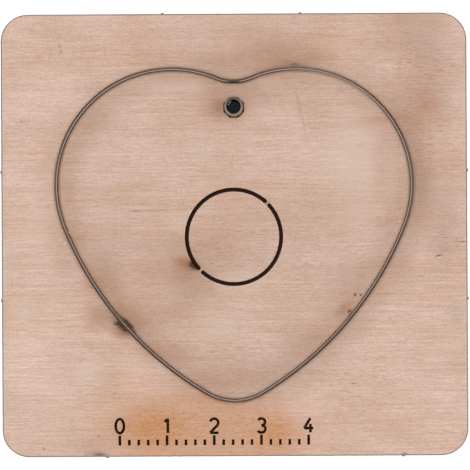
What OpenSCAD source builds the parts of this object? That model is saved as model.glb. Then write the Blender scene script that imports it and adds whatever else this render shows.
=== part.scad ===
// Steel rule die that cuts a heart with a hanging hole out of sheet material.
// A plywood board carries one bent cutting rule, seated in an interrupted slot, and a tube punch.
// The cutting edges point up (+Z) and the heart's lobes point to +Y.
// The origin is the middle of the board's underside. All sizes are in millimetres.

/* [Board] */
// Width of the board, left to right
board_w = 98.7; // [82:0.1:130]
// Depth of the board, heart's tip to lobes
board_d = 93.8; // [78:0.1:120]
// Thickness of the plywood
board_t = 15; // [9:0.5:19]
// Radius of the board's corners
corner_r = 5.7; // [1:0.1:10]

/* [Broken-off tabs on the board's edges] */
// Width of a tab along the edge
tab_w = 0.8; // [0.4:0.1:1.6]
// How far a tab stands out from the edge
tab_out = 0.25; // [0.1:0.05:0.5]
// Left and right tab on the top edge, each from its own corner
top_tab_insets = [34.3, 35.2]; // [14:0.1:38]
// Upper and lower tab on the side edges, each from its own corner
side_tab_insets = [33.4, 33.2]; // [14:0.1:36]
// Left and right tab on the bottom edge, each from its own corner
bottom_tab_insets = [22.2, 13.8]; // [12:0.1:38]

/* [Heart outline, along the cutting edge] */
// Width over both lobes
heart_w = 75; // [62:0.5:92]
// Height from the tip to the top of the lobes
heart_h = 70; // [58:0.5:86]
// Radius of the lobes
lobe_r = 24.4; // [20:0.1:29]
// Radius of the dip between the lobes
notch_r = 9.3; // [4:0.1:14]
// Radius of the long curve down each flank
flank_r = 71.7; // [58:0.1:120]
// Radius of the tip
tip_r = 11.4; // [6:0.1:16]

/* [Cutting rule] */
// Height of the rule, foot to cutting edge
rule_h = 23.8; // [20:0.1:32]
// Thickness of the rule
rule_t = 0.71; // [0.45:0.01:1.42]
// Angle between the two ground faces of the edge
edge_angle = 54; // [30:1:70]
// Gap where the two ends of the bent rule meet
seam_gap = 0.1; // [0.05:0.01:0.3]
// Place of that seam on the right flank, as a share of the flank from its lower end
seam_at = 0.925; // [0.8:0.005:0.97]

/* [Slot in the board] */
// Clearance between the rule and each wall of its slot
slot_clear = 0.045; // [0.02:0.005:0.1]
// Extra width of the round burn at each end of a slot
burn_extra = 0.12; // [0.04:0.01:0.4]
// Length of wood left standing at each bridge
bridge_w = 3.8; // [2.5:0.1:6]
// Clearance between a bridge and the notch in the rule that straddles it
bridge_clear = 0.3; // [0.1:0.05:0.6]
// Place of both flank bridges, as a share of the flank from its lower end
flank_bridge_at = 0.48; // [0.2:0.01:0.7]
// Place of the right lobe's bridge, as a share of the lobe from its lower end
right_bridge_at = 0.753; // [0.2:0.001:0.92]
// Place of the left lobe's bridge, as a share of the lobe from its lower end
left_bridge_at = 0.886; // [0.2:0.001:0.92]

/* [Knock-out disc in the middle of the board] */
// Place of the disc's middle, to the right of and above the board's own middle
disc_at = [-0.1, -0.4]; // [-10:0.1:10]
// Diameter of the ring slot, along its middle
disc_d = 20; // [12:0.5:40]
// Width of the ring slot
disc_slot_w = 0.78; // [0.5:0.01:1.2]
// Width of the two webs that hold the disc
web_w = 0.45; // [0.3:0.05:2]
// Direction of the first web, with the second one opposite
web_angle = 45; // [0:5:175]

/* [Tube punch] */
// Outside diameter of the punch
punch_d = 4; // [3.4:0.1:5.6]
// Diameter of the punched hole
punch_bore = 3; // [2:0.1:3.2]
// Height of the ground cone at the cutting end
punch_cone_h = 1.05; // [0.5:0.05:3]
// Distance from the dip between the lobes to the punch's middle
punch_inset = 5.35; // [4.5:0.05:14]
// Clearance between the punch and each flat of its eight-sided seat
punch_clear = 0.15; // [0.05:0.01:0.2]

/* [Hidden] */
$fn = 96;

// How far a cutting solid runs past the face it cuts
over = 1;
// How far each bend of the rule laps into the next one
lap = 0.1;
// How far the tip and the lobes stand out from the flanks and the dip, so that no two laps share a face
set_out = 0.01;
// Sides of the punch's laser-cut seat
seat_sides = 8;

slot_w = rule_t + 2 * slot_clear;
// Diameter of the round burn at each end of the rule's slot
slot_burn_d = slot_w + burn_extra;
// Width of the blocks that cut across the rule's path
across_w = 4 * slot_w;
// Width of a bridge where it meets the faces of the rule
bridge_face_w = bridge_w + slot_burn_d - sqrt(pow(slot_burn_d, 2) - pow(rule_t, 2));
// Radius of the notch's upper corners, which pass the bridge's corners by a quarter of the clearance
notch_corner_r = 3 * bridge_clear;
// Height of the ground part of the rule
edge_h = rule_t / 2 / tan(edge_angle / 2);

// Centres of the arcs on the axis and on the right, each tangent to the next
lobe_c = [heart_w / 2 - lobe_r, heart_h / 2 - lobe_r];
tip_c = [0, tip_r - heart_h / 2];
notch_c = [0, lobe_c.y + sqrt(pow(lobe_r + notch_r, 2) - pow(lobe_c.x, 2))];
flank_c = meeting_point(lobe_c, flank_r - lobe_r, tip_c, flank_r - tip_r);

// Directions in which neighbouring arcs join
flank_start = angle_of(tip_c - flank_c);
flank_end = angle_of(lobe_c - flank_c);
lobe_end = angle_of(notch_c - lobe_c);
notch_end = angle_of(lobe_c - notch_c);

// An arc is its centre, its radius and its first and last angle
tip_arc = [tip_c, tip_r + set_out, -180 - flank_start, flank_start];
flank_arc = [flank_c, flank_r, flank_start, flank_end];
lobe_arc = [lobe_c, lobe_r + set_out, flank_end, lobe_end];
notch_arc = [notch_c, notch_r, -180 - notch_end, notch_end];

// A place on the outline is its side, its arc and its share of that arc
right_side = 0;
left_side = 1;
bridges = [
    [right_side, flank_arc, flank_bridge_at],
    [left_side, flank_arc, flank_bridge_at],
    [right_side, lobe_arc, right_bridge_at],
    [left_side, lobe_arc, left_bridge_at]
];
seam = [right_side, flank_arc, seam_at];

punch_y = notch_c.y - notch_r - punch_inset;

function angle_of(v) = atan2(v.y, v.x);

// Degrees of turn that cover a length along a circle
function turn(length, radius) = length / radius * 180 / PI;

// Left-hand point at distance ra from a and rb from b
function meeting_point(a, ra, b, rb) =
    let (
        span = norm(b - a),
        dir = (b - a) / span,
        along = (ra * ra - rb * rb + span * span) / (2 * span),
        off = sqrt(ra * ra - along * along)
    )
    a + along * dir + off * [dir.y, -dir.x];

// Sweeps a flat section, drawn about x = 0, along one arc
module round_arc(arc) {
    lap_turn = turn(lap, arc[1]);
    translate(arc[0])
        rotate_extrude(angle = arc[3] - arc[2] + 2 * lap_turn, start = arc[2] - lap_turn)
            translate([arc[1], 0])
                children();
}

// Sweeps a flat section round the whole heart
module round_heart() {
    round_arc(tip_arc)
        children();
    round_arc(notch_arc)
        children();
    for (side = [right_side, left_side], arc = [flank_arc, lobe_arc])
        mirror([side, 0, 0])
            round_arc(arc)
                children();
}

// Puts a child on the outline, its Y along the rule, moved on by a length along the arc
module on_outline(place, along = 0) {
    arc = place[1];
    angle = arc[2] + place[2] * (arc[3] - arc[2]) + turn(along, arc[1]);
    mirror([place[0], 0, 0])
        translate(arc[0])
            rotate(angle)
                translate([arc[1], 0, 0])
                    children();
}

// A block across the rule's path: its length along the path and its lowest and highest level
module across(length, low, high) {
    translate([-across_w / 2, -length / 2, low])
        cube([across_w, length, high - low]);
}

module rule_section() {
    half = rule_t / 2;
    polygon([
        [-half, 0],
        [half, 0],
        [half, rule_h - edge_h],
        [0, rule_h],
        [-half, rule_h - edge_h]
    ]);
}

module slot_section(width) {
    translate([-width / 2, -over])
        square([width, board_t + 2 * over]);
}

module through_hole(diameter) {
    translate([0, 0, -over])
        cylinder(d = diameter, h = board_t + 2 * over);
}

module rounded_plate() {
    inner = [board_w - 2 * corner_r, board_d - 2 * corner_r];
    linear_extrude(board_t) {
        square([board_w, inner.y], center = true);
        square([inner.x, board_d], center = true);
        for (x = [-1, 1], y = [-1, 1])
            translate([x * inner.x, y * inner.y] / 2)
                circle(corner_r);
    }
}

// One tab on the edge that faces the given direction, at a place along that edge
module tab(facing, reach, along) {
    rotate(facing)
        translate([reach - over, along - tab_w / 2, 0])
            cube([over + tab_out, tab_w, board_t]);
}

module tabs() {
    half_w = board_w / 2;
    half_d = board_d / 2;
    for (side = [right_side, left_side], y = [half_d - side_tab_insets[0], side_tab_insets[1] - half_d])
        mirror([side, 0, 0])
            tab(0, half_w, y);
    for (x = [top_tab_insets[0] - half_w, half_w - top_tab_insets[1]])
        tab(90, half_d, -x);
    for (x = [bottom_tab_insets[0] - half_w, half_w - bottom_tab_insets[1]])
        tab(270, half_d, x);
}

// The rule's slot, broken at each bridge and burnt a little wider at its ends
module heart_slot() {
    difference() {
        round_heart()
            slot_section(slot_w);
        for (place = bridges)
            on_outline(place)
                across(bridge_w + slot_burn_d, -2 * over, board_t + 2 * over);
    }
    for (place = bridges, end = [-1, 1])
        on_outline(place, end * (bridge_w + slot_burn_d) / 2)
            through_hole(slot_burn_d);
}

// The ring slot round the knock-out disc, broken at its two webs
module disc_slot() {
    ring_r = disc_d / 2;
    burn_d = disc_slot_w + burn_extra;
    web_turn = turn(web_w + burn_d, ring_r);
    translate(disc_at)
        for (half = [0, 180])
            rotate(web_angle + half) {
                rotate_extrude(angle = 180 - web_turn, start = web_turn / 2)
                    translate([ring_r, 0])
                        slot_section(disc_slot_w);
                for (end = [-1, 1])
                    rotate(end * web_turn / 2)
                        translate([ring_r, 0, 0])
                            through_hole(burn_d);
            }
}

module punch_seat() {
    flats = punch_d + 2 * punch_clear;
    translate([0, punch_y, -over])
        rotate(180 / seat_sides)
            cylinder(d = flats / cos(180 / seat_sides), h = board_t + 2 * over, $fn = seat_sides);
}

module die_board() {
    color("burlywood")
        difference() {
            union() {
                rounded_plate();
                tabs();
            }
            heart_slot();
            disc_slot();
            punch_seat();
        }
}

// The notch in the rule over a bridge, open below, with round upper corners
module bridge_notch() {
    wide = bridge_face_w + 2 * bridge_clear;
    high = board_t + bridge_clear;
    across(wide, -over, high - notch_corner_r);
    across(wide - 2 * notch_corner_r, -over, high);
    for (end = [-1, 1])
        translate([-across_w / 2, end * (wide / 2 - notch_corner_r), high - notch_corner_r])
            rotate([0, 90, 0])
                cylinder(r = notch_corner_r, h = across_w);
}

module cutting_rule() {
    color("slategray")
        difference() {
            round_heart()
                rule_section();
            for (place = bridges)
                on_outline(place)
                    bridge_notch();
            on_outline(seam)
                across(seam_gap, -over, rule_h + over);
        }
}

module hole_punch() {
    bore_r = punch_bore / 2;
    body_r = punch_d / 2;
    color("dimgray")
        translate([0, punch_y, 0])
            rotate_extrude()
                polygon([
                    [bore_r, 0],
                    [body_r, 0],
                    [body_r, rule_h - punch_cone_h],
                    [bore_r, rule_h]
                ]);
}

die_board();
cutting_rule();
hole_punch();
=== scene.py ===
import math

import bmesh
import bpy
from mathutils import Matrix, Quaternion, Vector


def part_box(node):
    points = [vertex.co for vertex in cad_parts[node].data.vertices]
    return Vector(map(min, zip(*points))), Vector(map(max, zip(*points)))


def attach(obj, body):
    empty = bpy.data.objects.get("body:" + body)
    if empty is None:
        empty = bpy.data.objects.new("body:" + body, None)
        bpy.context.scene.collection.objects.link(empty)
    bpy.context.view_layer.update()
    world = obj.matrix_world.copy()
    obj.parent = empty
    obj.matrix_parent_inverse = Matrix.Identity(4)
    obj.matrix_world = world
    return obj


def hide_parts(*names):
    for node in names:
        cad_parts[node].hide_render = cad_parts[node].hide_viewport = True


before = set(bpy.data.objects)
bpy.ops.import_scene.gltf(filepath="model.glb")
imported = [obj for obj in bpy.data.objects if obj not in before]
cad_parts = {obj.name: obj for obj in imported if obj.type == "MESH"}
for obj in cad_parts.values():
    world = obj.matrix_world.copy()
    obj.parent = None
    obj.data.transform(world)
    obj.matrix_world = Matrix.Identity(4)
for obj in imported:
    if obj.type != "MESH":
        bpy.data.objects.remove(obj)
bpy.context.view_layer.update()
mm = 0.001
boardLow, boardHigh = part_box("die_board")
ruleLow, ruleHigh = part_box("cutting_rule")
punchLow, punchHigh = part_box("hole_punch")
print("frame loaded, board top at", round(boardHigh.z / mm, 2), "mm")


# a socket in a node tree, so that node maths reads as plain expressions
class Val:
    def __init__(self, tree, socket):
        self.tree = tree
        self.socket = socket

    # any node: its settings first, then its inputs by name or number
    def node(self, kind, settings, inputs, out=0):
        made = self.tree.nodes.new(kind)
        for name, value in settings.items():
            setattr(made, name, value)
        for name, value in inputs.items():
            if isinstance(value, Val):
                self.tree.links.new(value.socket, made.inputs[name])
            else:
                made.inputs[name].default_value = value
        return Val(self.tree, made.outputs[out])

    def maths(self, operation, *values):
        return self.node("ShaderNodeMath", {"operation": operation}, dict(enumerate(values)))

    def __add__(self, other):
        return self.maths("ADD", self, other)

    def __radd__(self, other):
        return self.maths("ADD", other, self)

    def __sub__(self, other):
        return self.maths("SUBTRACT", self, other)

    def __rsub__(self, other):
        return self.maths("SUBTRACT", other, self)

    def __mul__(self, other):
        return self.maths("MULTIPLY", self, other)

    def __rmul__(self, other):
        return self.maths("MULTIPLY", other, self)

    def __mod__(self, other):
        return self.maths("MODULO", self, other)

    def __rmod__(self, other):
        return self.maths("MODULO", other, self)

    def __abs__(self):
        return self.maths("ABSOLUTE", self)

    def least(self, other):
        return self.maths("MINIMUM", self, other)

    def over(self, level):
        return self.maths("GREATER_THAN", self, level)

    def fraction(self):
        return self.maths("FRACT", self)

    # 0 at low, 1 at high, eased in between
    def ramp(self, low, high):
        ends = {"Value": self, "From Min": low, "From Max": high}
        return self.node("ShaderNodeMapRange", {"interpolation_type": "SMOOTHSTEP"}, ends)

    def pick(self, no, yes):
        return no + self * (yes - no)

    def vector(self, operation, other=(0, 0, 0), out=0):
        return self.node("ShaderNodeVectorMath", {"operation": operation}, {0: self, 1: other}, out)

    def length(self):
        return self.vector("LENGTH", out="Value")

    def scaled(self, factor):
        return self.node("ShaderNodeVectorMath", {"operation": "SCALE"}, {
            "Vector": self, "Scale": factor})

    def axis(self, name):
        return self.node("ShaderNodeSeparateXYZ", {}, {"Vector": self}, name)

    # cloudy value round 0.5; stretch is in cycles per millimetre
    def noise(self, stretch, shift, detail=2.0, roughness=0.5):
        spot = self.node("ShaderNodeVectorMath", {"operation": "MULTIPLY_ADD"}, {
            0: self, 1: stretch, 2: shift})
        looks = {"Vector": spot, "Scale": 1.0, "Detail": detail, "Roughness": roughness}
        return self.node("ShaderNodeTexNoise", {"noise_dimensions": "3D"}, looks)

    # one colour at 0, the other at 1
    def colours(self, low, high):
        return self.node("ShaderNodeMix", {"data_type": "RGBA"}, {0: self, 6: low, 7: high}, 2)

    # this colour with another laid over it
    def under(self, colour, amount):
        return self.node("ShaderNodeMix", {"data_type": "RGBA"}, {0: amount, 6: self, 7: colour}, 2)

    # this colour made lighter or darker, each channel by its own share of the amount
    def toned(self, amount, shares):
        factor = self.node("ShaderNodeVectorMath", {"operation": "SCALE"}, {
            "Vector": shares, "Scale": amount})
        return self.vector("MULTIPLY", factor.vector("ADD", (1, 1, 1)))

    def bump(self, strength, distance):
        return self.node("ShaderNodeBump", {}, {
            "Height": self, "Strength": strength, "Distance": distance})


# screen colour, 0 to 255, as linear light
def seen(red, green, blue):
    def linear(level):
        return level / 12.92 if level < 0.0405 else ((level + 0.055) / 1.055) ** 2.4

    return (*[linear(level / 255) for level in (red, green, blue)], 1.0)


studio = {
    "whiteCard": 1.6,  # how bright the lights make a white card
    "keyPower": 51.5,
    "keySide": 0.35,
    "keyPlace": (0, 0, 2.0),
    "fill": 0.16,
    "horizon": 1.3,  # brightness of the low band of light all round
    "band": (0.42, 0.05),  # sines of the heights at which it has faded and is full
    "floorGlow": 0.25,
}


# a dull finish that looks the given screen colour under those lights
def finish(red, green, blue):
    return (*[c / studio["whiteCard"] for c in seen(red, green, blue)[:3]], 1.0)


def newMaterial(name, constants):
    material = bpy.data.materials.new(name)
    material.use_nodes = True
    tree = material.node_tree
    shader = tree.nodes["Principled BSDF"]
    for socket, value in constants.items():
        shader.inputs[socket].default_value = value
    coordinates = tree.nodes.new("ShaderNodeTexCoord")
    place = Val(tree, coordinates.outputs["Object"]).scaled(1 / mm)  # millimetres
    return material, shader, place


def feed(shader, values):
    for socket, value in values.items():
        value.tree.links.new(value.socket, shader.inputs[socket])


def meshObject(name, mesh):
    made = bpy.data.objects.new(name, mesh)
    bpy.context.scene.collection.objects.link(made)
    return made


# plain mesh of an object with its modifiers worked out, under the same name
def settled(source):
    graph = bpy.context.evaluated_depsgraph_get()
    mesh = bpy.data.meshes.new_from_object(source.evaluated_get(graph))
    name = source.name
    bpy.data.objects.remove(source)
    mesh.name = name
    return meshObject(name, mesh)


def newTree(name, sockets):
    tree = bpy.data.node_groups.new(name, "GeometryNodeTree")
    tree.interface.new_socket("Geometry", in_out="INPUT", socket_type="NodeSocketGeometry")
    for label, kind in sockets.items():
        tree.interface.new_socket(label, in_out="INPUT", socket_type=kind)
    tree.interface.new_socket("Geometry", in_out="OUTPUT", socket_type="NodeSocketGeometry")
    entry = tree.nodes.new("NodeGroupInput")
    return tree, {socket.name: Val(tree, socket) for socket in entry.outputs if socket.name}


def endTree(tree, geometry, material):
    whole = geometry.node("GeometryNodeRealizeInstances", {}, {"Geometry": geometry})
    whole = whole.node("GeometryNodeSetMaterial", {}, {"Geometry": whole, "Material": material})
    leave = tree.nodes.new("NodeGroupOutput")
    tree.links.new(whole.socket, leave.inputs["Geometry"])


def addTree(piece, tree, values):
    modifier = piece.modifiers.new(tree.name, "NODES")
    modifier.node_group = tree
    for item in tree.interface.items_tree:
        if item.in_out == "INPUT" and item.name in values:
            modifier[item.identifier] = values[item.name]


# a mesh of edges only, for a path or a section
def lineObject(name, points, closed):
    count = len(points)
    edges = [(i, (i + 1) % count) for i in range(count if closed else count - 1)]
    mesh = bpy.data.meshes.new(name)
    mesh.from_pydata([Vector(p).to_3d() for p in points], edges, [])
    return meshObject(name, mesh)


def polar(centre, radius, angle):
    return Vector((centre[0] + radius * math.cos(angle), centre[1] + radius * math.sin(angle)))


heart = {
    "thick": 0.71 * mm,
    "lobe": 24.4 * mm,
    "dip": 9.3 * mm,
    "flank": 71.7 * mm,
    "tip": 11.4 * mm,
    "flankBridge": 0.48,  # shares of an arc, from its lower end
    "rightBridge": 0.753,
    "leftBridge": 0.886,
    "seam": 0.925,
    "seamGap": 0.1 * mm,
}


# centres of the arcs that make the heart's right half
def heartCentres():
    halfWide = (ruleHigh.x - ruleLow.x - heart["thick"]) / 2
    top = ruleHigh.y - heart["thick"] / 2
    bottom = ruleLow.y + heart["thick"] / 2
    lobe = Vector((halfWide - heart["lobe"], top - heart["lobe"]))
    tip = Vector((0, bottom + heart["tip"]))
    dip = Vector((0, lobe.y + math.sqrt((heart["lobe"] + heart["dip"]) ** 2 - lobe.x ** 2)))
    toLobe = heart["flank"] - heart["lobe"]
    toTip = heart["flank"] - heart["tip"]
    span = tip - lobe
    along = (toLobe ** 2 - toTip ** 2 + span.length_squared) / (2 * span.length)
    aside = math.sqrt(toLobe ** 2 - along ** 2)
    ahead = span.normalized()
    flank = lobe + along * ahead + aside * Vector((ahead.y, -ahead.x))
    return {"lobe": lobe, "tip": tip, "dip": dip, "flank": flank}


def angleOf(vector):
    return math.atan2(vector.y, vector.x)


centres = heartCentres()
flankStart = angleOf(centres["tip"] - centres["flank"])
flankEnd = angleOf(centres["lobe"] - centres["flank"])
lobeEnd = angleOf(centres["dip"] - centres["lobe"])
dipEnd = angleOf(centres["lobe"] - centres["dip"])


# the cutting line as arcs, anticlockwise from the tip: centre, radius, first and last angle
def heartArcs():
    def mirrored(name, first, last):
        centre = Vector((-centres[name].x, centres[name].y))
        return (centre, heart[name], math.pi - last, math.pi - first)

    return [
        (centres["tip"], heart["tip"], -math.pi - flankStart, flankStart),
        (centres["flank"], heart["flank"], flankStart, flankEnd),
        (centres["lobe"], heart["lobe"], flankEnd, lobeEnd),
        (centres["dip"], heart["dip"], dipEnd, -math.pi - dipEnd),
        mirrored("lobe", flankEnd, lobeEnd),
        mirrored("flank", flankStart, flankEnd),
    ]


heartLine = heartArcs()
tipTurn, rightFlank, rightLobe, dipTurn, leftLobe, leftFlank = range(6)


def arcLength(arc):
    return arc[1] * abs(arc[3] - arc[2])


# distance round a line of arcs at a share of one of them
def distanceAt(line, index, share):
    return sum(arcLength(arc) for arc in line[:index]) + share * arcLength(line[index])


# point and outward normal at a distance round a line of arcs
def spotOn(line, distance):
    distance %= sum(arcLength(arc) for arc in line)
    for centre, radius, first, last in line:
        length = radius * abs(last - first)
        if distance <= length:
            break
        distance -= length
    turn = 1 if last > first else -1
    angle = first + turn * min(distance, length) / radius
    return polar(centre, radius, angle), turn * polar((0, 0), 1, angle)


heartLength = distanceAt(heartLine, leftFlank, 1)
bridgeSpots = [
    distanceAt(heartLine, rightFlank, heart["flankBridge"]),
    distanceAt(heartLine, rightLobe, heart["rightBridge"]),
    distanceAt(heartLine, leftLobe, 1 - heart["leftBridge"]),
    distanceAt(heartLine, leftFlank, 1 - heart["flankBridge"]),
]
seamSpot = distanceAt(heartLine, rightFlank, heart["seam"])

boardShape = {
    "corner": 5.7 * mm,
    "cornerSteps": 14,
    "tabWide": 0.8 * mm,
    "tabProud": 0.25 * mm,
    "tabSteps": 8,
    "tabBlunt": 0.6,  # 1 gives a stub the shape of a sine, less a squarer one
    "rightTabs": (-13.7 * mm, 13.5 * mm),  # each in the order met, anticlockwise round the board
    "topTabs": (14.15 * mm, -15.05 * mm),
    "leftTabs": (13.5 * mm, -13.7 * mm),
    "bottomTabs": (-27.15 * mm, 35.55 * mm),
    "edgeRim": 0.14 * mm,  # scorched arris round the outside
    "slotRim": 0.015 * mm,  # and along the slots
    "slotWide": 0.73 * mm,
    "slotBurn": 0.92 * mm,
    "burnSteps": 10,
    "bridge": 3.8 * mm,
    "ring": 10 * mm,
    "ringAt": (-0.1 * mm, -0.4 * mm),
    "ringWide": 0.82 * mm,
    "ringBurn": 0.9 * mm,
    "web": 0.45 * mm,
    "webTurn": math.radians(45),
    "seatFlats": 4.3 * mm,
    "seatSides": 8,
    "step": 0.4 * mm,  # point spacing along the slots
}
boardHalf = Vector((boardHigh.x - boardShape["tabProud"], boardHigh.y - boardShape["tabProud"]))
boardThick = boardHigh.z
punchSpot = (punchLow + punchHigh).to_2d() / 2


# outside of the board with its round corners and torn tab stubs; grow is negative inwards
def boardOutline(grow):
    corner, cornerSteps = boardShape["corner"], boardShape["cornerSteps"]
    wide, deep = boardHalf
    sides = [
        (wide, deep, boardShape["rightTabs"]),
        (deep, wide, [-x for x in boardShape["topTabs"]]),
        (wide, deep, [-y for y in boardShape["leftTabs"]]),
        (deep, wide, boardShape["bottomTabs"]),
    ]
    outline = []
    for quarterTurns, (reach, span, tabs) in enumerate(sides):
        side = []
        for tab in tabs:
            for k in range(boardShape["tabSteps"] + 1):
                share = k / boardShape["tabSteps"]
                swell = max(math.sin(math.pi * share), 0) ** boardShape["tabBlunt"]
                proud = boardShape["tabProud"] * swell
                side.append(Vector((reach + proud + grow, tab + boardShape["tabWide"] * (share - 0.5))))
        for k in range(cornerSteps + 1):
            turn = math.pi / 2 * k / cornerSteps
            side.append(polar((reach - corner, span - corner), corner + grow, turn))
        for _ in range(quarterTurns):
            side = [Vector((-p.y, p.x)) for p in side]
        outline += side
    return outline


# a slot along a line of arcs from one distance to another, ending in round burns
def slotOutline(line, first, last, wide, burn, grow):
    half, burnR = wide / 2 + grow, burn / 2 + grow
    back = math.sqrt(burnR ** 2 - half ** 2)
    burnSteps = boardShape["burnSteps"]
    opening = math.acos(-back / burnR)
    steps = max(2, round((last - first) / boardShape["step"]))
    stations = [first + back + (last - first - 2 * back) * k / steps for k in range(steps + 1)]

    def roundEnd(distance, facing):
        middle, out = spotOn(line, distance)
        ahead = Vector((-out.y, out.x))
        turns = [opening * (1 - 2 * k / burnSteps) for k in range(1, burnSteps)]
        return [middle + facing * burnR * (math.cos(t) * ahead + math.sin(t) * out) for t in turns]

    def bank(side):
        spots = [spotOn(line, s) for s in stations]
        return [middle + side * half * out for middle, out in spots]

    return bank(1) + roundEnd(last, 1) + bank(-1)[::-1] + roundEnd(first, -1)


def seatOutline(grow):
    sides = boardShape["seatSides"]
    corner = (boardShape["seatFlats"] / 2 + grow) / math.cos(math.pi / sides)
    return [polar(punchSpot, corner, (k + 0.5) * 2 * math.pi / sides) for k in range(sides)]


# every cut through the board, as functions of how far they are grown
def boardCuts():
    def slot(line, first, last, wide, burn):
        return lambda grow: slotOutline(line, first, last, wide, burn, grow)

    cuts = [seatOutline]
    wide, burn = boardShape["slotWide"], boardShape["slotBurn"]
    clear = (boardShape["bridge"] + burn) / 2
    for start, stop in zip(bridgeSpots, bridgeSpots[1:] + [bridgeSpots[0] + heartLength]):
        cuts.append(slot(heartLine, start + clear, stop - clear, wide, burn))
    wide, burn = boardShape["ringWide"], boardShape["ringBurn"]
    clear = (boardShape["web"] + burn) / 2
    for turn in (boardShape["webTurn"], boardShape["webTurn"] + math.pi):
        ring = [(Vector(boardShape["ringAt"]), boardShape["ring"], turn, turn + math.pi)]
        cuts.append(slot(ring, clear, arcLength(ring[0]) - clear, wide, burn))
    return cuts


# wall of one outline from the underside to the top, with small arrises; lean is 1 where they widen a
# cut and -1 where they take off the board's edge
def addWall(shape, outline, rim, lean, materialIndex):
    levels = [(0, lean * rim), (rim, 0), (boardThick - rim, 0), (boardThick, lean * rim)]
    rings = [[shape.verts.new((*p, z)) for p in outline(grow)] for z, grow in levels]
    for low, high in zip(rings, rings[1:]):
        for k in range(len(low)):
            after = (k + 1) % len(low)
            face = shape.faces.new((low[k], low[after], high[after], high[k]))
            face.material_index = materialIndex
            face.smooth = True
    return rings[0], rings[-1]


def fillCap(shape, rings, materialIndex):
    edges = [shape.edges.get((ring[k], ring[k - 1])) for ring in rings for k in range(len(ring))]
    made = bmesh.ops.triangle_fill(shape, use_beauty=True, use_dissolve=False, edges=edges)
    for face in made["geom"]:
        if isinstance(face, bmesh.types.BMFace):
            face.material_index = materialIndex


# materials in the order top, underside, outside and cuts
def boardMesh(materials):
    top, underside, outside, cuts = range(4)
    shape = bmesh.new()
    walls = [addWall(shape, boardOutline, boardShape["edgeRim"], -1, outside)]
    walls += [addWall(shape, cut, boardShape["slotRim"], 1, cuts) for cut in boardCuts()]
    fillCap(shape, [high for low, high in walls], top)
    fillCap(shape, [low for low, high in walls], underside)
    bmesh.ops.recalc_face_normals(shape, faces=shape.faces)
    mesh = bpy.data.meshes.new("die_board_wood")
    shape.to_mesh(mesh)
    shape.free()
    for material in materials:
        mesh.materials.append(material)
    return mesh


# signed distance from the cutting line in millimetres, below zero inside the heart
def gapField(place):
    x, y = abs(place.axis("X")), place.axis("Y")
    folded = place.node("ShaderNodeCombineXYZ", {}, {"X": x, "Y": y})

    def centre(name):
        return (centres[name].x / mm, centres[name].y / mm, 0)

    def fromArc(name):
        return folded.vector("DISTANCE", centre(name), "Value") - heart[name] / mm

    def past(name, angle):  # 1 on the far side of the line on which two arcs join
        across = (-math.sin(angle), math.cos(angle), 0)
        return folded.vector("SUBTRACT", centre(name)).vector("DOT_PRODUCT", across, "Value").over(0)

    lower = past("tip", flankStart).pick(fromArc("tip"), fromArc("flank"))
    sides = past("lobe", flankEnd).pick(lower, fromArc("lobe"))
    inDip = past("lobe", lobeEnd) * y.over(centres["lobe"].y / mm)
    return inDip.pick(sides, 0 - fromArc("dip"))


# distance past the board's outline in millimetres, true beside it, below zero on the board
def outlineField(place):
    corner = boardShape["corner"] / mm
    square = (boardHalf.x / mm - corner, boardHalf.y / mm - corner, 0)
    past = place.vector("ABSOLUTE").vector("SUBTRACT", square).vector("MAXIMUM", (0, 0, 0))
    return past.vector("MULTIPLY", (1, 1, 0)).length() - corner


# soft patch: 1 in the middle, 0 at its rim; middle and reach in millimetres, turn in degrees
def patch(place, middle, reach, turn=0):
    local = place.vector("SUBTRACT", (*middle, 0))
    if turn:
        local = local.node("ShaderNodeVectorRotate", {"rotation_type": "Z_AXIS"},
                           {"Vector": local, "Angle": -math.radians(turn)})
    away = local.vector("MULTIPLY", (1 / reach[0], 1 / reach[1], 0)).length()
    return away.ramp(1, 0)


ply = {
    "layers": 11,
    "faceGrain": finish(120, 84, 58),
    "endGrain": finish(74, 48, 32),
    "glue": finish(34, 22, 16),
    "soot": finish(26, 19, 16),
    "rim": finish(128, 116, 108),
    "rimReach": (-0.34, -0.14),  # millimetres from the outline at which the grey rim starts and is full
    "rimDeep": (0.3, 0.12),  # the same below the top
    "slotSoot": (seen(16, 11, 9), seen(44, 30, 22)),
    # noise: cycles per millimetre, shift, detail, roughness
    "burnLines": ((2.6, 2.6, 0.05), (1, 2, 3), 3.0, 0.6),
    "flecks": ((0.35, 0.35, 2.4), (4, 4, 4), 3.0),
    "sootPatches": ((0.09, 0.09, 0.05), (9, 3, 1), 2.0),
    "flakes": ((1.6, 1.6, 0.5), (2, 7, 1), 4.0, 0.6),
}


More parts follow.
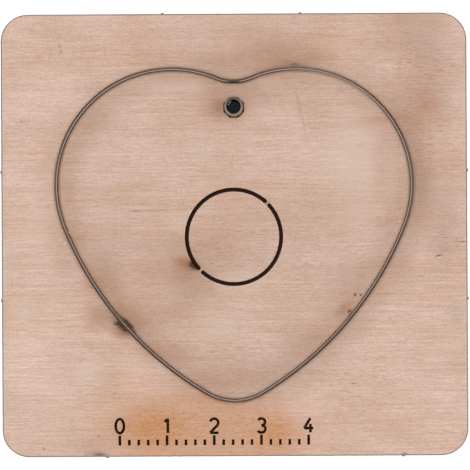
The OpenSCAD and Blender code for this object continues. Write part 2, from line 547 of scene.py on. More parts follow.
veneer = {
    "pink": finish(219, 188, 172),
    "straw": finish(215, 181, 159),
    "pore": finish(176, 138, 116),
    "fleck": finish(142, 100, 76),
    "haze": finish(146, 110, 86),
    "char": finish(52, 28, 18),
    # noise that bends with the grain: cycles per millimetre, shift, detail, roughness
    "alongGrain": {
        "bands": ((0.012, 0.4, 0), (11, 4, 2), 2.5),
        "streaks": ((0.08, 2.1, 0), (5, 8, 1), 3.0, 0.55),
        "fibres": ((0.5, 5.0, 0), (2, 6, 9), 3.0, 0.6),
        "pores": ((0.42, 3.6, 0), (1, 3, 4), 2.0),
        "flecks": ((0.9, 4.2, 0), (9, 1, 6), 2.0),
    },
    "bend": ((0.018, 0.05, 0), (3, 1, 7)),
    "bendBy": 2.4,  # millimetres
    # noise that lies straight
    "straight": {
        "speckle": ((1.9, 3.0, 0), (4, 9, 2), 3.0, 0.7),
        "mottle": ((0.06, 0.09, 0), (8, 2, 5), 3.0),
        "openness": ((0.05, 0.08, 0), (6, 6, 6)),
        "rough": ((0.5, 1.6, 0), (7, 5, 3), 4.0, 0.65),
    },
    "tints": (0.36, 0.64),  # noise levels at which the wood is all straw and all pink
    "tones": {"streaks": 0.6, "fibres": 0.7, "speckle": 0.75, "mottle": 0.3},
    "warmDarks": (0.86, 1.0, 1.15),  # a dark streak loses more blue than red
    # scorching along the slot: each reach has the millimetres at which it starts and is full
    "tanReach": (7, 0.8),
    "tanInside": 0.26,
    "tanOutside": (0.1, 0.34),  # at the left and at the right, where the smoke of the cut drifted
    "tanDrift": (-30, 40),  # places across the board between which one turns into the other
    "tanAllInside": 0.04,
    "sootReach": (4.5, 0.3),
    "topSoot": 0.02,
    "underSoot": 0.048,
    "outerShadowReach": (0.72, 0.5),  # painted shadow line on the outer bank, just outside the rule
    "outerShadowLine": 0.12,
    # amber tint and grit round the scale: middle, reach, strength
    "amber": finish(203, 142, 94),
    "amberField": ((-6, -41.5), (36, 16), 0.4),
    "grit": finish(150, 88, 50),
    "gritNoise": ((1.5, 1.9, 0), (3, 3, 8), 3.0, 0.7),
    "scorched": [
        ((-5, -42), (20, 9), 0.2),
        ((-18, -41), (12, 8), 0.46),
        ((9, -42), (9, 7), 0.4),
        ((-24, -31), (9, 8), 0.14),
    ],
    # broad washes in millimetres: middle, reach, strength, and the side of the rule they keep to
    "brown": finish(150, 105, 70),
    "washes": [
        ((2, 43), (32, 11), 0.18, "out"),
        ((-29, -17), (5, 5), 0.4, "out"),
        ((10, 39), (13, 5), 0.22, "out"),
        ((39, 27), (11, 14), 0.36, "out"),
        ((37, 45), (12, 6), 0.36, "out"),
        ((34, 40), (13, 5), 0.3, "out"),
        ((28, 36), (6, 4), 0.16, "out"),
        ((0, 36.5), (13, 5), 0.3, "out"),
        ((-1, 26), (6, 4), 0.2, "in"),
        ((-12, -16), (6, 4), 0.18, "in"),
        ((43, 36), (10, 13), 0.2, "out"),
        ((44, 5), (7, 12), 0.16, "out"),
        ((8, 40), (10, 5), 0.14, "out"),
        ((7, 31), (8, 4), 0.18, "in"),
        ((-9, -11.5), (8, 6), 0.2, "in"),
        ((38, 13), (5, 16), 0.26, "out"),
        ((45, 8), (8, 16), 0.16, "out"),
        ((-36, -4), (4, 14), 0.14, "out"),
        ((-31, -45), (10, 4), 0.25, "out"),
        ((-10, -6), (17, 12), 0.34, "in"),
        ((8, 0), (22, 14), 0.16, "in"),
        ((-27, -9), (7, 9), 0.26, "in"),
        ((-20, -17), (9, 7), 0.24, "in"),
        ((-14, -25), (8, 5), 0.24, "in"),
        ((2, -29), (18, 6), 0.2, "in"),
        ((14, -23), (9, 7), 0.2, "in"),
        ((23, -10), (8, 9), 0.22, "in"),
        ((1, 28), (11, 6), 0.2, "in"),
        ((16, 28), (6, 5), 0.16, "in"),
        ((-25, -1), (9, 8), 0.14, "in"),
        ((-29, 24), (9, 5), 0.12, "in"),
    ],
    # painted shade outside the rule, dull without the brown: middle, reach, strength
    "dull": finish(140, 120, 112),
    "shades": [
        ((40, 10), (5, 8), 0.2),
        ((44, -2), (6, 5), 0.2),
        ((47, -16), (4, 5), 0.2),
        ((42, 40), (8, 8), 0.12),
        ((36, -8), (4, 9), 0.1),
    ],
    # paler places: middle, reach, strength
    "pale": finish(228, 203, 189),
    "bleached": [
        ((26, 15), (13, 14), 0.5),
        ((26, 4), (8, 7), 0.25),
        ((25, 22.5), (8, 6), 0.4),
        ((-12, 3), (5, 4), 0.4),
        ((2, -10), (7, 5), 0.35),
        ((-7, 19), (7, 6), 0.3),
        ((-29, 17), (6, 4), 0.3),
        ((-8, 31), (5, 3), 0.3),
        ((27, -33), (6, 5), 0.3),
        ((-13, 31.5), (9, 3), 0.35),
        ((8, 31.5), (5, 2.5), 0.25),
        ((-3, -19), (8, 6), 0.4),
        ((-45, -16), (5, 5), 0.4),
        ((-31, -29), (7, 5), 0.4),
        ((-41, 5), (6, 13), 0.3),
        ((43, -26), (6, 5), 0.25),
    ],
    # smoke marks by the slots: middle, reach, turn, strength
    "smoke": [
        ((-22.8, -19.1), (6.0, 1.8), -47, 1.1),
        ((-22.2, -18.6), (8.0, 5.0), -47, 0.4),
        ((-24.4, -19.3), (5.6, 2.0), -47, 0.6),
        ((-25.0, -18.6), (7.0, 4.0), -47, 0.35),
        ((24.3, -16.3), (1.4, 0.9), 50, 1.0),
        ((-9.6, -5.9), (4.4, 2.6), -20, 0.4),
        ((-8.6, -6.4), (2.6, 1.8), -50, 0.9),
        ((-10.0, -7.6), (7.5, 4.5), 20, 0.4),
        ((-3.4, 27.2), (5.0, 4.2), 0, 0.55),
        ((0, 27), (5.5, 5.0), 0, 0.28),
        ((12.4, 36.1), (7.5, 2.3), -5, 0.6),
        ((16.5, 37.2), (8.0, 4.0), 0, 0.3),
        ((22.6, -16.2), (4.5, 2.6), 55, 0.45),
    ],
    # rusty smears of resin: middle, reach, turn, strength
    "rust": finish(178, 116, 78),
    "smears": [
        ((-24.2, -20.6), (3.6, 2.0), -20, 0.6),
        ((-10.4, -6.0), (4.0, 2.2), -15, 0.8),
        ((-33.5, -2.5), (3.0, 6.0), 15, 0.25),
        ((-30.5, -9.5), (3.0, 5.0), 25, 0.35),
        ((-24.4, -15.2), (3.0, 2.2), -47, 0.3),
        ((24.0, -15.5), (3.0, 2.0), 50, 0.45),
        ((8.0, 35.5), (7.0, 3.0), 15, 0.3),
        ((31.0, 24.2), (13.0, 2.2), 8, 0.25),
        ((41.0, 27.5), (5.0, 4.5), 0, 0.3),
        ((31.0, 14.0), (3.0, 9.0), 0, 0.2),
        ((-14.0, 33.0), (5.0, 2.0), 0, 0.15),
        ((-18.0, -25.0), (5.0, 4.0), 0, 0.3),
        ((-14.6, 5.4), (9.5, 0.25), 1.5, 0.4),
        ((-17.0, -7.5), (11.0, 5.0), 0, 0.2),
        ((7.0, 6.7), (0.9, 0.9), 0, 0.9),
        ((2.0, 8.0), (15.0, 12.0), 0, 0.12),
        ((-6.0, 28.5), (12.0, 6.0), 0, 0.1),
        ((-2.0, 26.0), (10.0, 3.5), 0, 0.2),
    ],
    # places with more open pores: middle, reach, how much more
    "open": [
        ((40, 32), (11, 18), 1.0),
        ((39, 18), (9, 9), 0.6),
        ((14, 43), (16, 5), 0.5),
        ((4, -24), (24, 11), 0.5),
        ((26, -33), (13, 6), 0.4),
        ((-10, -8), (14, 9), 0.4),
        ((15, -3), (10, 7), 0.5),
        ((-6, -40), (26, 7), 0.9),
        ((43, -5), (7, 18), 0.6),
        ((0, 0), (10, 10), 0.6),
    ],
    # chips of bare wood beside the rule: middle, reach, turn, strength
    "paleTone": finish(246, 232, 208),
    "chips": [
        ((-34.95, 0.6), (0.3, 0.4), 20, 0.9),
        ((-36.9, -0.8), (0.6, 0.3), 60, 0.5),
        ((-35.95, -1.6), (0.4, 0.3), 0, 0.6),
        ((34.6, -1.7), (0.35, 0.35), 0, 0.7),
        ((28.6, -11.9), (0.3, 0.4), 0, 0.7),
    ],
    # knots and nicks: middle, reach, turn, strength
    "dots": [
        ((-36.9, 40.2), (0.45, 0.5), 0, 0.3),
        ((-36.6, 39.0), (0.4, 0.8), -30, 0.35),
        ((-45.0, 24.2), (0.35, 0.6), 0, 0.4),
        ((25.5, -12.8), (0.5, 0.5), 0, 0.95),
        ((26.7, -12.9), (0.5, 0.4), 40, 0.85),
        ((31.0, -7.9), (0.35, 0.5), -30, 0.7),
        ((43.2, -4.6), (1.3, 0.35), 20, 0.7),
        ((48.4, -1.7), (1.6, 0.2), 3, 0.8),
        ((-40.6, -45.2), (0.5, 0.35), 0, 0.6),
        ((-29.0, -42.5), (0.35, 0.35), 0, 0.6),
        ((-25.6, -33.5), (0.35, 0.35), 0, 0.5),
        ((-21.1, 5.2), (2.0, 0.2), 0, 0.5),
        ((13.8, 27.6), (6.0, 0.6), -78, 0.16),
        ((14.9, 23.0), (2.8, 0.16), -80, 0.35),
        ((-28.8, -46.4), (2.2, 0.5), 0, 0.75),
        ((-29.6, -46.1), (3.8, 1.0), 0, 0.25),
        ((35.8, -46.5), (1.2, 0.4), 0, 0.6),
        ((23.5, -29.5), (0.9, 0.18), 0, 0.5),
        ((25.2, -31.6), (1.1, 0.18), 0, 0.5),
        ((24.1, -33.4), (0.8, 0.18), 0, 0.45),
        ((26.2, -34.3), (0.9, 0.18), 0, 0.45),
    ],
}


# the wood's noises by name
def woodGrain(place):
    aside = place.noise(*veneer["bend"]) * veneer["bendBy"]
    bent = place.vector("ADD", place.node("ShaderNodeCombineXYZ", {}, {"Y": aside}))
    grain = {name: bent.noise(*settings) for name, settings in veneer["alongGrain"].items()}
    grain.update({name: place.noise(*settings) for name, settings in veneer["straight"].items()})
    return grain


# two tints of clean wood, streaked light and dark
def cleanWood(grain):
    tint = (grain["bands"] * 0.45 + grain["mottle"] * 0.55).ramp(*veneer["tints"])
    tone = sum((grain[name] - 0.5) * share for name, share in veneer["tones"].items())
    return tint.colours(veneer["straw"], veneer["pink"]).toned(tone, veneer["warmDarks"])


# how far the pores are open, 0 to 1
def openGrain(place, grain, marked):
    openness = grain["openness"].ramp(0.42, 0.62) * 0.5
    if marked:
        for middle, reach, amount in veneer["open"]:
            openness = openness + patch(place, middle, reach) * amount
    return openness.least(1)


# brown tint on both banks of the slot
def slotTan(place, gap, inside):
    outer = place.axis("X").ramp(*veneer["tanDrift"]).pick(*veneer["tanOutside"])
    near = abs(gap).ramp(*veneer["tanReach"])
    return near * inside.pick(outer, veneer["tanInside"]) + inside * veneer["tanAllInside"]


# the top's washes, shades, pale places, smears and amber tint
def stainedWood(colour, place, grain, zones):
    streaky = 0.5 + grain["streaks"]
    for middle, reach, amount, zone in veneer["washes"]:
        wash = patch(place, middle, reach) * zones[zone] * streaky
        colour = colour.under(veneer["brown"], wash * amount)
    # painted shade outside the rule
    for middle, reach, amount in veneer["shades"]:
        colour = colour.under(veneer["dull"], patch(place, middle, reach) * zones["out"] * amount)
    for middle, reach, amount in veneer["bleached"]:
        colour = colour.under(veneer["pale"], patch(place, middle, reach) * amount)
    grainy = 0.15 + grain["rough"] * 0.9 + grain["speckle"] * 0.8
    for middle, reach, turn, strength in veneer["smears"]:
        smear = patch(place, middle, reach, turn) * grainy
        colour = colour.under(veneer["rust"], (smear * strength).least(1))
    middle, reach, strength = veneer["amberField"]
    burnt = patch(place, middle, reach).ramp(0, 0.7) * strength
    for middle, reach, amount in veneer["scorched"]:
        burnt = burnt + patch(place, middle, reach) * amount
    burnt = burnt * zones["out"]
    amber = burnt * (grain["rough"] * 1.6 + grain["speckle"] * 1.4 - 0.5)
    grit = place.noise(*veneer["gritNoise"]).ramp(0.55, 0.72) * burnt * 1.1
    return colour.under(veneer["amber"], amber.least(1)).under(veneer["grit"], grit.least(1))


# small marks of one colour, each with its middle, reach, turn and strength
def markedWood(colour, place, marks, markColour):
    for middle, reach, turn, strength in marks:
        colour = colour.under(markColour, patch(place, middle, reach, turn) * strength)
    return colour


def veneerMaterial(name, slotSoot, marked):
    material, shader, place = newMaterial(name, {"Specular IOR Level": 0.1})
    grain = woodGrain(place)
    gap = gapField(place)
    zones = {"in": gap.ramp(0.3, -0.3), "out": gap.ramp(-0.3, 0.3)}
    openness = openGrain(place, grain, marked)
    pores = grain["pores"].ramp(0.54, 0.7) * openness
    flecks = grain["flecks"].ramp(0.6, 0.7) * openness
    colour = cleanWood(grain).under(veneer["pore"], pores * 0.6).under(veneer["fleck"], flecks * 0.6)
    colour = colour.under(veneer["brown"], slotTan(place, gap, zones["in"]))
    smoke = abs(gap).ramp(*veneer["sootReach"]) * slotSoot
    if marked:
        colour = stainedWood(colour, place, grain, zones)
        for middle, reach, turn, strength in veneer["smoke"]:
            puff = patch(place, middle, reach, turn)
            smoke = smoke + puff * puff * strength
    smoke = smoke * (grain["rough"] * 1.4 + grain["speckle"] * 1.2 - 0.3)
    colour = colour.under(veneer["haze"], smoke.least(1) * 0.8)
    colour = colour.under(veneer["char"], smoke.ramp(0.45, 1.3) * 0.9)
    # painted shadow line along the outer bank, in the char colour
    outerShadowLine = gap.ramp(*veneer["outerShadowReach"]) * zones["out"]
    colour = colour.under(veneer["char"], outerShadowLine * veneer["outerShadowLine"])
    if marked:
        colour = markedWood(colour, place, veneer["chips"], veneer["paleTone"])
        colour = markedWood(colour, place, veneer["dots"], veneer["char"])
    colour = colour.under(ply["rim"], outlineField(place).ramp(*ply["rimReach"]) * 0.85)
    relief = (grain["streaks"] * 0.6 + grain["fibres"] * 0.4 - pores * 0.8).bump(0.25, 0.05 * mm)
    roughness = 0.62 + (grain["streaks"] - 0.5) * 0.2
    feed(shader, {"Base Color": colour, "Roughness": roughness, "Normal": relief})
    return material


# laser-cut outside of the board: browned plies with fine upright burn lines
def charredEdgeMaterial():
    material, shader, place = newMaterial("charred_edge", {"Specular IOR Level": 0.2})
    z = place.axis("Z")
    layer = z * (ply["layers"] / (boardThick / mm))
    crossed = (layer * 0.5).fraction().over(0.5)  # every other ply shows its end grain
    burnLines = place.noise(*ply["burnLines"])
    flecks = place.noise(*ply["flecks"])
    colour = crossed.colours(ply["faceGrain"], ply["endGrain"])
    colour = colour.scaled(0.45 + burnLines * 0.6 + flecks * 0.5)
    glue = abs(layer.fraction() - 0.5).ramp(0.42, 0.5)
    colour = colour.under(ply["glue"], glue * 0.8)
    sooty = burnLines * 0.6 + place.noise(*ply["sootPatches"]) * 0.6
    colour = colour.under(ply["soot"], sooty.ramp(0.5, 0.78) * 0.7)
    rim = z.ramp(*[boardThick / mm - deep for deep in ply["rimDeep"]])
    colour = colour.under(ply["rim"], rim * 0.9)
    relief = (burnLines * 0.8 - glue * 0.3 + flecks * 0.2).bump(0.6, 0.12 * mm)
    feed(shader, {"Base Color": colour, "Roughness": 0.7 + (burnLines - 0.5) * 0.3, "Normal": relief})
    return material


# inside of the laser slots, and the floor of the etched marks
def sootMaterial(name, dark, brown):
    material, shader, place = newMaterial(name, {"Specular IOR Level": 0.0})
    flakes = place.noise(*ply["flakes"])
    colour = flakes.ramp(0.35, 0.75).colours(dark, brown)
    relief = flakes.bump(0.4, 0.05 * mm)
    feed(shader, {"Base Color": colour, "Roughness": 0.75 + flakes * 0.2, "Normal": relief})
    return material


scale = {
    "middle": (-4.5 * mm, -44.5 * mm),
    "ticks": 21,
    "spacing": 2 * mm,
    "longEvery": 5,
    "short": 1.2 * mm,
    "long": 2.1 * mm,
    "digitFoot": -41.9 * mm,
    "digitTall": 3 * mm,
    "stroke": 0.58 * mm,
    "sides": 12,
    "char": (seen(18, 12, 10), seen(52, 34, 22)),
}


# strokes of the figures 0 to 4, about x = 0, in a box 1 high
def digitStrokes():
    def bow(middle, radius, first, last, steps=12):
        turns = [math.radians(first + (last - first) * k / steps) for k in range(steps + 1)]
        spots = [(radius[0] * math.cos(t), radius[1] * math.sin(t)) for t in turns]
        return [(middle[0] + x, middle[1] + y) for x, y in spots]

    crook = bow((0, 0.71), (0.29, 0.29), 165, -35)
    return [
        [bow((0, 0.5), (0.29, 0.5), 0, 360, 24)],
        [[(-0.17, 0.78), (0.06, 1)], [(0.06, 1), (0.06, 0)]],
        [crook, [crook[-1], (-0.29, 0)], [(-0.29, 0), (0.31, 0)]],
        [bow((0, 0.75), (0.26, 0.25), 150, -90), bow((0, 0.26), (0.29, 0.26), 90, -150)],
        [[(0.13, 1), (-0.31, 0.3)], [(-0.31, 0.3), (0.33, 0.3)], [(0.13, 0.6), (0.13, 0)]],
    ]


# plain centimetre scale cut into the top: ticks on a line of points, figures from their strokes
def scaleTree():
    tree, inputs = newTree("etched_scale", {
        "Ticks": "NodeSocketInt", "Spacing": "NodeSocketFloat", "Long every": "NodeSocketInt",
        "Short": "NodeSocketFloat", "Long": "NodeSocketFloat", "Start": "NodeSocketVector",
        "Stroke": "NodeSocketFloat", "Sides": "NodeSocketInt", "Char": "NodeSocketMaterial"})
    strokes = inputs["Geometry"]
    step = strokes.node("ShaderNodeCombineXYZ", {}, {"X": inputs["Spacing"]})
    spots = strokes.node("GeometryNodeMeshLine", {"mode": "OFFSET"}, {
        "Count": inputs["Ticks"], "Start Location": inputs["Start"], "Offset": step})
    index = strokes.node("GeometryNodeInputIndex", {}, {})
    isLong = 1 - (index % inputs["Long every"]).least(1)
    tall = isLong.pick(inputs["Short"], inputs["Long"])
    tick = strokes.node("GeometryNodeCurvePrimitiveLine", {}, {"Start": (0, 0, 0), "End": (0, 1, 0)})
    size = strokes.node("ShaderNodeCombineXYZ", {}, {"X": 1, "Y": tall, "Z": 1})
    ticks = strokes.node("GeometryNodeInstanceOnPoints", {}, {
        "Points": spots, "Instance": tick, "Scale": size})
    ticks = ticks.node("GeometryNodeRealizeInstances", {}, {"Geometry": ticks})
    figures = strokes.node("GeometryNodeMeshToCurve", {}, {"Mesh": strokes})
    both = strokes.node("GeometryNodeJoinGeometry", {}, {"Geometry": ticks})
    tree.links.new(figures.socket, both.socket.node.inputs["Geometry"])
    section = strokes.node("GeometryNodeCurvePrimitiveCircle", {}, {
        "Resolution": inputs["Sides"], "Radius": inputs["Stroke"] * 0.5})
    rods = strokes.node("GeometryNodeCurveToMesh", {}, {
        "Curve": both, "Profile Curve": section, "Fill Caps": True})
    endTree(tree, rods, inputs["Char"])
    return tree


def scaleCutter(char):
    points, edges = [], []
    start = scale["middle"][0] - scale["spacing"] * (scale["ticks"] - 1) / 2
    foot, tall = scale["digitFoot"], scale["digitTall"]
    for figure, strokes in enumerate(digitStrokes()):
        left = start + figure * scale["longEvery"] * scale["spacing"]
        for stroke in strokes:
            base = len(points)
            points += [(left + x * tall, foot + y * tall, boardThick) for x, y in stroke]
            edges += [(base + k, base + k + 1) for k in range(len(stroke) - 1)]
    mesh = bpy.data.meshes.new("etched_scale")
    mesh.from_pydata(points, edges, [])
    cutter = meshObject("etched_scale", mesh)
    addTree(cutter, scaleTree(), {
        "Ticks": scale["ticks"], "Spacing": scale["spacing"], "Long every": scale["longEvery"],
        "Short": scale["short"], "Long": scale["long"], "Start": (start, scale["middle"][1], boardThick),
        "Stroke": scale["stroke"], "Sides": scale["sides"], "Char": char})
    return settled(cutter)


board = meshObject("die_board_wood", boardMesh([
    veneerMaterial("top_veneer", veneer["topSoot"], True),
    veneerMaterial("under_veneer", veneer["underSoot"], False),
    charredEdgeMaterial(),
    sootMaterial("slot_soot", *ply["slotSoot"]),
]))
cutter = scaleCutter(sootMaterial("etched_char", *scale["char"]))
etching = board.modifiers.new("etching", "BOOLEAN")
etching.operation = "DIFFERENCE"
etching.solver = "EXACT"
etching.use_self = True
etching.material_mode = "TRANSFER"
etching.object = cutter
board = settled(board)
bpy.data.objects.remove(cutter)
board.data.set_sharp_from_angle(angle=math.radians(30))
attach(board, "root")
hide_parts("die_board")
print("board made,", len(board.data.polygons), "faces")


rule = {
    "tall": ruleHigh.z,
    "edgeAngle": math.radians(54),
    "notchWide": 4.73 * mm,
    "notchTall": 15.3 * mm,
    "notchRound": 0.9 * mm,
    "roundSteps": 6,
    "notchAcross": 3.2 * mm,
    "step": 0.3 * mm,
    # the ground facets' colours are painted: shade on the outer facet, a painted highlight on the inner
    # one
    "outerFacetShade": seen(84, 71, 64),
    "innerFacetHighlight": seen(222, 224, 226),
    "wall": seen(146, 143, 140),
    # smoke colour, for smoke blotches on the wall and also for painted shade on the facet's inner edge
    # and the inside wall
    "smoke": seen(34, 26, 23),
    "paintedLight": seen(214, 210, 205),
    "paintedLightAt": ((22, 30), (20, 15)),  # the stretch of inside wall painted pale, as painted light
    # bands across the ground edge, of painted highlight and painted shade, from -1 at the inside face to
    # 1 at the outside face
    "highlightFrom": (-0.74, -0.62),
    "highlightTo": (-0.1, -0.22),
    "darkShoulder": (-0.6, -0.75),
    "insideShadeHigh": (1.5, 5),  # millimetres over the board at which painted shade on the inside wall starts and is full
    # noise: cycles per millimetre along the strip and up it, shift, detail
    "drawLines": ((0.12, 14, 1), (1, 2, 3), 3.0),
    "blotches": ((0.25, 0.3, 1), (5, 1, 2), 3.0),
}
shoulder = rule["tall"] - heart["thick"] / 2 / math.tan(rule["edgeAngle"] / 2)


# bent strip swept along the cutting line, then notched where it straddles the bridges
def ruleTree():
    tree, inputs = newTree("bent_rule", {
        "Section": "NodeSocketObject", "Notch wide": "NodeSocketFloat", "Notch tall": "NodeSocketFloat",
        "Notch round": "NodeSocketFloat", "Round steps": "NodeSocketInt", "Across": "NodeSocketFloat",
        "Steel": "NodeSocketMaterial"})
    path = inputs["Geometry"].node("GeometryNodeMeshToCurve", {}, {"Mesh": inputs["Geometry"]})
    length = path.node("GeometryNodeSplineParameter", {}, {}, "Length")
    path = path.node("GeometryNodeStoreNamedAttribute", {"data_type": "FLOAT", "domain": "POINT"}, {
        "Geometry": path, "Name": "along", "Value": length})
    path = path.node("GeometryNodeSetCurveNormal", {"mode": "Z_UP"}, {"Curve": path})
    outline = path.node("GeometryNodeObjectInfo", {}, {"Object": inputs["Section"]}, "Geometry")
    outline = path.node("GeometryNodeMeshToCurve", {}, {"Mesh": outline})
    side = path.node("GeometryNodeInputPosition", {}, {}).axis("X")
    outline = path.node("GeometryNodeStoreNamedAttribute", {"data_type": "FLOAT", "domain": "POINT"}, {
        "Geometry": outline, "Name": "side", "Value": side * (2 / heart["thick"])})
    strip = path.node("GeometryNodeCurveToMesh", {}, {
        "Curve": path, "Profile Curve": outline, "Fill Caps": True})
    arch = path.node("GeometryNodeCurvePrimitiveQuadrilateral", {"mode": "RECTANGLE"}, {
        "Width": inputs["Notch wide"], "Height": inputs["Notch tall"] * 2})
    arch = path.node("GeometryNodeFilletCurve", {"mode": "POLY"}, {
        "Curve": arch, "Count": inputs["Round steps"], "Radius": inputs["Notch round"]})
    left = path.node("ShaderNodeCombineXYZ", {}, {"X": inputs["Across"] * -0.5})
    right = path.node("ShaderNodeCombineXYZ", {}, {"X": inputs["Across"] * 0.5})
    through = path.node("GeometryNodeCurvePrimitiveLine", {}, {"Start": left, "End": right})
    punchOut = path.node("GeometryNodeCurveToMesh", {}, {
        "Curve": through, "Profile Curve": arch, "Fill Caps": True})
    isBridge = path.node("GeometryNodeInputNamedAttribute", {"data_type": "FLOAT"}, {"Name": "bridge"})
    ahead = path.node("GeometryNodeInputTangent", {}, {})
    facing = path.node("FunctionNodeAlignRotationToVector", {"axis": "Y", "pivot_axis": "Z"}, {
        "Vector": ahead})
    notches = path.node("GeometryNodeInstanceOnPoints", {}, {
        "Points": path, "Selection": isBridge.over(0.5), "Instance": punchOut, "Rotation": facing})
    notches = path.node("GeometryNodeRealizeInstances", {}, {"Geometry": notches})
    cut = path.node("GeometryNodeMeshBoolean", {"operation": "DIFFERENCE", "solver": "EXACT"}, {
        "Mesh 1": strip, "Mesh 2": notches})
    endTree(tree, cut, inputs["Steel"])
    return tree


def ruleSteelMaterial():
    material, shader, place = newMaterial("rule_steel", {"Metallic": 1.0})
    along = place.node("ShaderNodeAttribute", {"attribute_name": "along"}, {}, "Fac") * (1 / mm)
    side = place.node("ShaderNodeAttribute", {"attribute_name": "side"}, {}, "Fac")
    z = place.axis("Z")
    onRule = place.node("ShaderNodeCombineXYZ", {}, {"X": along, "Y": z, "Z": side})
    drawn = onRule.noise(*rule["drawLines"])
    blotch = onRule.noise(*rule["blotches"])
    ground = z.ramp(shoulder / mm - 0.03, shoulder / mm + 0.03)
    # painted highlight on the inner facet, painted shade on the outer one
    facetHighlight = side.ramp(*rule["highlightFrom"]) * side.ramp(*rule["highlightTo"])
    paintedLight = patch(place, *rule["paintedLightAt"])
    facet = facetHighlight.colours(rule["outerFacetShade"], rule["innerFacetHighlight"])
    # painted shade along the inner edge of the facet, in the smoke colour
    facet = facet.under(rule["smoke"], side.ramp(*rule["darkShoulder"]))
    # painted light on the facets along the lit stretch
    facet = facet.under(rule["paintedLight"], paintedLight * 0.1)
    inner = side.ramp(0.2, -0.2)
    upper = z.ramp(*[boardThick / mm + high for high in rule["insideShadeHigh"]])
    paleTone = (paintedLight + inner * (1 - upper) * 0.8).least(1)  # the inside wall is painted pale at its foot, and along the painted light
    wall = (blotch * 0.4).colours(rule["wall"], rule["smoke"]).under(rule["paintedLight"], paleTone)
    colour = wall.under(facet, ground)
    colour = colour.scaled(0.75 + drawn * 0.3 + blotch * 0.2)
    # painted shade over the upper inside wall, in the smoke colour
    colour = colour.under(rule["smoke"], upper * inner * (1 - ground) * (1 - paintedLight) * 0.95)
    roughness = ground.pick(0.48, 0.34) + (drawn - 0.5) * 0.2
    feed(shader, {"Base Color": colour, "Roughness": roughness, "Normal": drawn.bump(0.25, 0.02 * mm)})
    return material


def rulePath():
    first = seamSpot + heart["seamGap"] / 2
    length = heartLength - heart["seamGap"]
    steps = round(length / rule["step"])
    stations = [length * k / steps for k in range(steps + 1)]
    middles = [(spot - first) % heartLength for spot in bridgeSpots]
    stations = sorted(stations + middles)
    path = lineObject("cutting_rule_strip", [spotOn(heartLine, first + s)[0] for s in stations], False)
    marks = path.data.attributes.new("bridge", "FLOAT", "POINT")
    for k, station in enumerate(stations):
        marks.data[k].value = 1.0 if station in middles else 0.0
    return path


half = heart["thick"] / 2
section = lineObject("rule_section", [
    (-half, 0), (half, 0), (half, -shoulder), (0, -rule["tall"]), (-half, -shoulder)], True)
strip = rulePath()
addTree(strip, ruleTree(), {
    "Section": section, "Notch wide": rule["notchWide"], "Notch tall": rule["notchTall"],
    "Notch round": rule["notchRound"], "Round steps": rule["roundSteps"], "Across": rule["notchAcross"],
    "Steel": ruleSteelMaterial()})
strip = settled(strip)
bpy.data.objects.remove(section)
for polygon in strip.data.polygons:
    polygon.use_smooth = True
strip.data.set_sharp_from_angle(angle=math.radians(20))
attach(strip, "root")
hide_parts("cutting_rule")
print("rule made,", len(strip.data.polygons), "faces")


punch = {
    "outer": (punchHigh.x - punchLow.x) / 2,
    "bore": 1.5 * mm,
    "cone": 1.05 * mm,
    "arris": 0.06 * mm,
    "steps": 96,
    "ground": seen(160, 150, 143),
    "body": seen(100, 92, 86),
    # the bore's wall is painted near black, as painted shade inside the tube
    "inside": seen(24, 23, 24),
    "glint": seen(206, 220, 240),
    "glintStrength": 0.8,
    # painted glints in the bore, which glow: bearing in degrees, then half width, height and half height
    # in millimetres
    "glints": [(124, 0.4, 11.0, 3.2), (140, 0.3, 3.4, 3.0)],
    # noise: cycles per millimetre, shift, detail; the lines run round the punch
    "turnLines": ((7, 9, 0), (1, 1, 1), 2.0),
    "blotches": ((0.7, 0.7, 0.7), (3, 3, 3), 3.0),
}


def punchSteelMaterial():
    material, shader, place = newMaterial("punch_steel", {"Emission Strength": punch["glintStrength"]})
    local = place.vector("SUBTRACT", (punchSpot.x / mm, punchSpot.y / mm, 0))
    reach = local.vector("MULTIPLY", (1, 1, 0)).length()
    z = place.axis("Z")
    coneFoot, bore = (punchHigh.z - punch["cone"]) / mm, punch["bore"] / mm
    cone = z.ramp(coneFoot - 0.05, coneFoot + 0.05)
    inBore = reach.ramp(bore + 0.06, bore + 0.01)
    turned = place.node("ShaderNodeCombineXYZ", {}, {"X": reach, "Y": z}).noise(*punch["turnLines"])
    blotch = place.noise(*punch["blotches"])
    colour = cone.colours(punch["body"], punch["ground"]).scaled(0.7 + turned * 0.3 + blotch * 0.3)
    # painted shade over the bore's wall
    colour = colour.under(punch["inside"], inBore)

    # painted glints on the bore's wall, given as glow
    def glint(bearing, halfWide, high, halfHigh):
        away = local.vector("SUBTRACT", (*polar((0, 0), bore, math.radians(bearing)), high))
        away = away.vector("MULTIPLY", (1 / halfWide, 1 / halfWide, 1 / halfHigh))
        return away.length().ramp(1, 0.4) * inBore

    glow = sum(glint(*sizes) for sizes in punch["glints"])
    feed(shader, {
        "Base Color": colour, "Metallic": cone.pick(1, 0.55), "Roughness": 0.38 + (turned - 0.5) * 0.25,
        "Normal": turned.bump(0.3, 0.02 * mm),
        "Emission Color": glow.colours((0, 0, 0, 1), punch["glint"])})
    return material


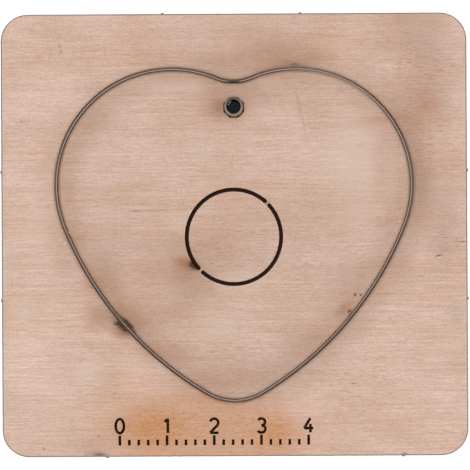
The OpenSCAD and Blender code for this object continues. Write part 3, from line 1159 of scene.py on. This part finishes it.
# turned tube: foot, wall, ground cone and bore, with its arrises just broken
def punchMesh(material):
    outer, bore, tall, arris = punch["outer"], punch["bore"], punchHigh.z, punch["arris"]
    profile = [
        (bore + arris, 0), (outer - arris, 0), (outer, arris), (outer, tall - punch["cone"]),
        (bore + arris / 2, tall), (bore, tall - arris), (bore, arris)]
    shape = bmesh.new()
    rings = []
    for k in range(punch["steps"]):
        turn = 2 * math.pi * k / punch["steps"]
        rings.append([shape.verts.new((*polar(punchSpot, r, turn), z)) for r, z in profile])
    for k, ring in enumerate(rings):
        after = rings[(k + 1) % len(rings)]
        for j in range(len(profile)):
            nextJ = (j + 1) % len(profile)
            shape.faces.new((ring[j], after[j], after[nextJ], ring[nextJ])).smooth = True
    bmesh.ops.recalc_face_normals(shape, faces=shape.faces)
    mesh = bpy.data.meshes.new("hole_punch_tube")
    shape.to_mesh(mesh)
    shape.free()
    mesh.materials.append(material)
    return mesh


tube = meshObject("hole_punch_tube", punchMesh(punchSteelMaterial()))
tube.data.set_sharp_from_angle(angle=math.radians(20))
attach(tube, "root")
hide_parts("hole_punch")
print("punch made")


def pointAt(thing, target, roll=0):
    aim = Vector((0, 0, -1)).rotation_difference(Vector(target) - thing.location)
    thing.rotation_mode = "QUATERNION"
    thing.rotation_quaternion = aim @ Quaternion((0, 0, 1), roll)


sheets = {
    "floorHalf": (4, 4),
    "floorLevel": -0.4 * mm,
    "floorColour": (0.95, 0.95, 0.95, 1),
    "cardColour": (0.01, 0.01, 0.01, 1),
    # glowing cards under the board, as painted shade seen through its cuts and the punch's bore: half
    # size, level, glow
    "cards": {
        "dark_card": (boardHalf - Vector((2 * mm, 2 * mm)), -0.3 * mm, seen(21, 23, 26)),
        "brown_card": ((14 * mm, 14 * mm), -0.2 * mm, seen(41, 22, 13)),
    },
}


def stageSheet(name, halfSize, level, constants):
    mesh = bpy.data.meshes.new(name)
    corners = [(-1, -1), (1, -1), (1, 1), (-1, 1)]
    mesh.from_pydata([(x * halfSize[0], y * halfSize[1], level) for x, y in corners], [], [(0, 1, 2, 3)])
    dull = {"Roughness": 0.9, "Specular IOR Level": 0.0}
    mesh.materials.append(newMaterial(name, {**dull, **constants})[0])
    meshObject(name, mesh)


def stageSheets():
    stageSheet("studio_floor", sheets["floorHalf"], sheets["floorLevel"], {
        "Base Color": sheets["floorColour"], "Emission Color": (1, 1, 1, 1),
        "Emission Strength": studio["floorGlow"]})
    # painted shade cards under the board
    for name, (halfSize, level, glow) in sheets["cards"].items():
        stageSheet(name, halfSize, level, {
            "Base Color": sheets["cardColour"], "Emission Color": glow, "Emission Strength": 1})


def studioLight():
    key = bpy.data.lights.new("key_softbox", "AREA")
    key.shape = "SQUARE"
    key.size = studio["keySide"]
    key.energy = studio["keyPower"]
    lamp = bpy.data.objects.new("key_softbox", key)
    bpy.context.scene.collection.objects.link(lamp)
    lamp.location = studio["keyPlace"]
    lamp.visible_camera = False
    pointAt(lamp, (0, 0, 0))
    world = bpy.data.worlds.new("studio_fill")
    world.use_nodes = True
    tree = world.node_tree
    towards = Val(tree, tree.nodes.new("ShaderNodeTexCoord").outputs["Generated"])
    band = towards.axis("Z").ramp(*studio["band"])
    feed(tree.nodes["Background"], {"Strength": band.pick(studio["fill"], studio["horizon"])})
    tree.nodes["Background"].inputs["Color"].default_value = (1, 1, 1, 1)
    bpy.context.scene.world = world
    bpy.context.scene.view_settings.view_transform = "Standard"


shot = {
    "lens": 488,
    "sensor": 36,
    "nearest": 10 * mm,
    "place": (9 * mm, -5 * mm, 1365 * mm),
    "aim": (0.12 * mm, -0.02 * mm, boardThick),
    "roll": math.radians(-0.3),
}


def placeCamera():
    optics = bpy.data.cameras.new("camera")
    optics.lens = shot["lens"]
    optics.sensor_width = shot["sensor"]
    optics.clip_start = shot["nearest"]
    camera = bpy.data.objects.new("camera", optics)
    bpy.context.scene.collection.objects.link(camera)
    camera.location = shot["place"]
    pointAt(camera, shot["aim"], shot["roll"])
    bpy.context.scene.camera = camera


stageSheets()
studioLight()
placeCamera()
print("studio set")
